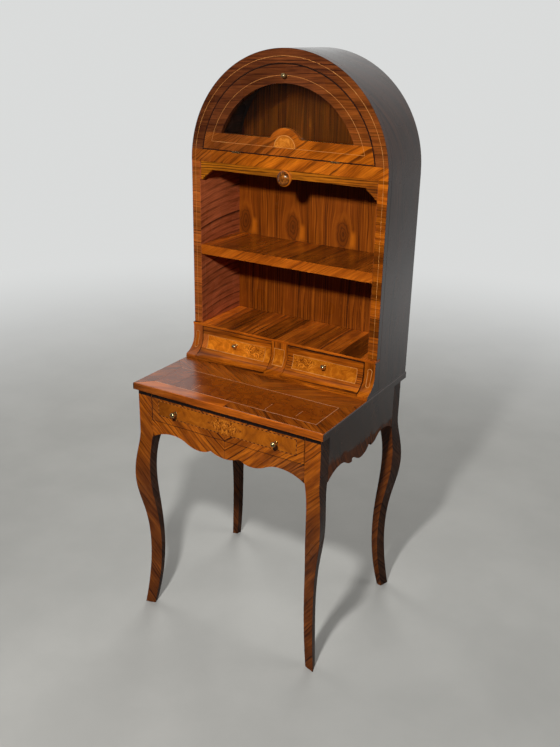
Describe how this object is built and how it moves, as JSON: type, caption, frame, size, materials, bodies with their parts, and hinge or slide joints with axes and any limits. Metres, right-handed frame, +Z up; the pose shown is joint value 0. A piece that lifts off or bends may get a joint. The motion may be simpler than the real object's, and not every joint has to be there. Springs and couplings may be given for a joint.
{
  "type": "bonheur du jour",
  "caption": "Small veneered writing desk on cabriole legs, with a wide drawer and a shallow round-topped cabinet of open shelves, small cove-fronted drawers and an arched glazed flap.",
  "frame": {"origin": "on the floor, under the middle of the table top", "axes": "+X to the right of someone who sits at the desk, +Y to the back, +Z up"},
  "size_m": [0.6062, 0.5181, 1.6],
  "materials": {
    "veneer": "french polished veneer",
    "dark_side": "dark polished veneer",
    "inner_wood": "bare or waxed",
    "brass": "aged, polished by hand",
    "steel": "plain",
    "glass": "clear"
  },
  "bodies": {
    "carcase": {"front_rail": "veneer", "leg_back_right": "veneer", "leg_front_right": "veneer", "leg_back_left": "veneer", "leg_front_left": "veneer", "table_top": "veneer", "deck": "veneer", "middle_shelf": "veneer", "end_post_right": "veneer", "end_post_left": "veneer", "centre_post": "veneer", "stile_right": "veneer", "stile_left": "veneer", "arch_frame": "veneer", "lintel": "veneer", "valance": "veneer", "valance_boss": "veneer", "base_board": "veneer", "side_apron_right": "dark_side", "side_apron_left": "dark_side", "cabinet_side_right": "dark_side", "cabinet_side_left": "dark_side", "arched_top": "dark_side", "back_apron": "dark_side", "drawer_runners": "inner_wood", "glue_blocks": "inner_wood", "back_panel": "inner_wood", "arch_floor": "inner_wood", "base_drawer_guides": "inner_wood", "base_divider": "inner_wood", "flap_stop": "inner_wood", "hinge_frame_leaves": "brass", "hinge_pins": "brass", "hinge_frame_screws": "steel", "cabinet_screws": "steel", "catch_magnet": "steel"},
    "table_drawer": {"table_drawer_front": "veneer", "table_drawer_sides": "inner_wood", "table_drawer_back": "inner_wood", "table_drawer_bottom": "inner_wood", "table_drawer_knobs": "brass"},
    "base_drawer_right": {"base_drawer_right_front": "veneer", "base_drawer_right_sides": "inner_wood", "base_drawer_right_back": "inner_wood", "base_drawer_right_bottom": "inner_wood", "base_drawer_right_knob": "brass"},
    "base_drawer_left": {"base_drawer_left_front": "veneer", "base_drawer_left_sides": "inner_wood", "base_drawer_left_back": "inner_wood", "base_drawer_left_bottom": "inner_wood", "base_drawer_left_knob": "brass"},
    "flap": {"flap_arch": "veneer", "flap_rail": "veneer", "glass_beads": "veneer", "flap_knob": "brass", "hinge_flap_leaves": "brass", "catch_strike": "steel", "hinge_flap_screws": "steel", "flap_glass": "glass"}
  },
  "joints": [
    {"name": "table_drawer_slide", "type": "slide", "parent": "carcase", "child": "table_drawer", "axis": [0, -1, 0], "range_m": [0, 0.28]},
    {"name": "base_drawer_right_slide", "type": "slide", "parent": "carcase", "child": "base_drawer_right", "axis": [0, -1, 0], "range_m": [0, 0.13]},
    {"name": "base_drawer_left_slide", "type": "slide", "parent": "carcase", "child": "base_drawer_left", "axis": [0, -1, 0], "range_m": [0, 0.13]},
    {"name": "flap_hinge", "type": "hinge", "parent": "carcase", "child": "flap", "pos_m": [0, 0.038, 1.3335], "axis": [1, 0, 0], "range_deg": [0, 155]}
  ]
}
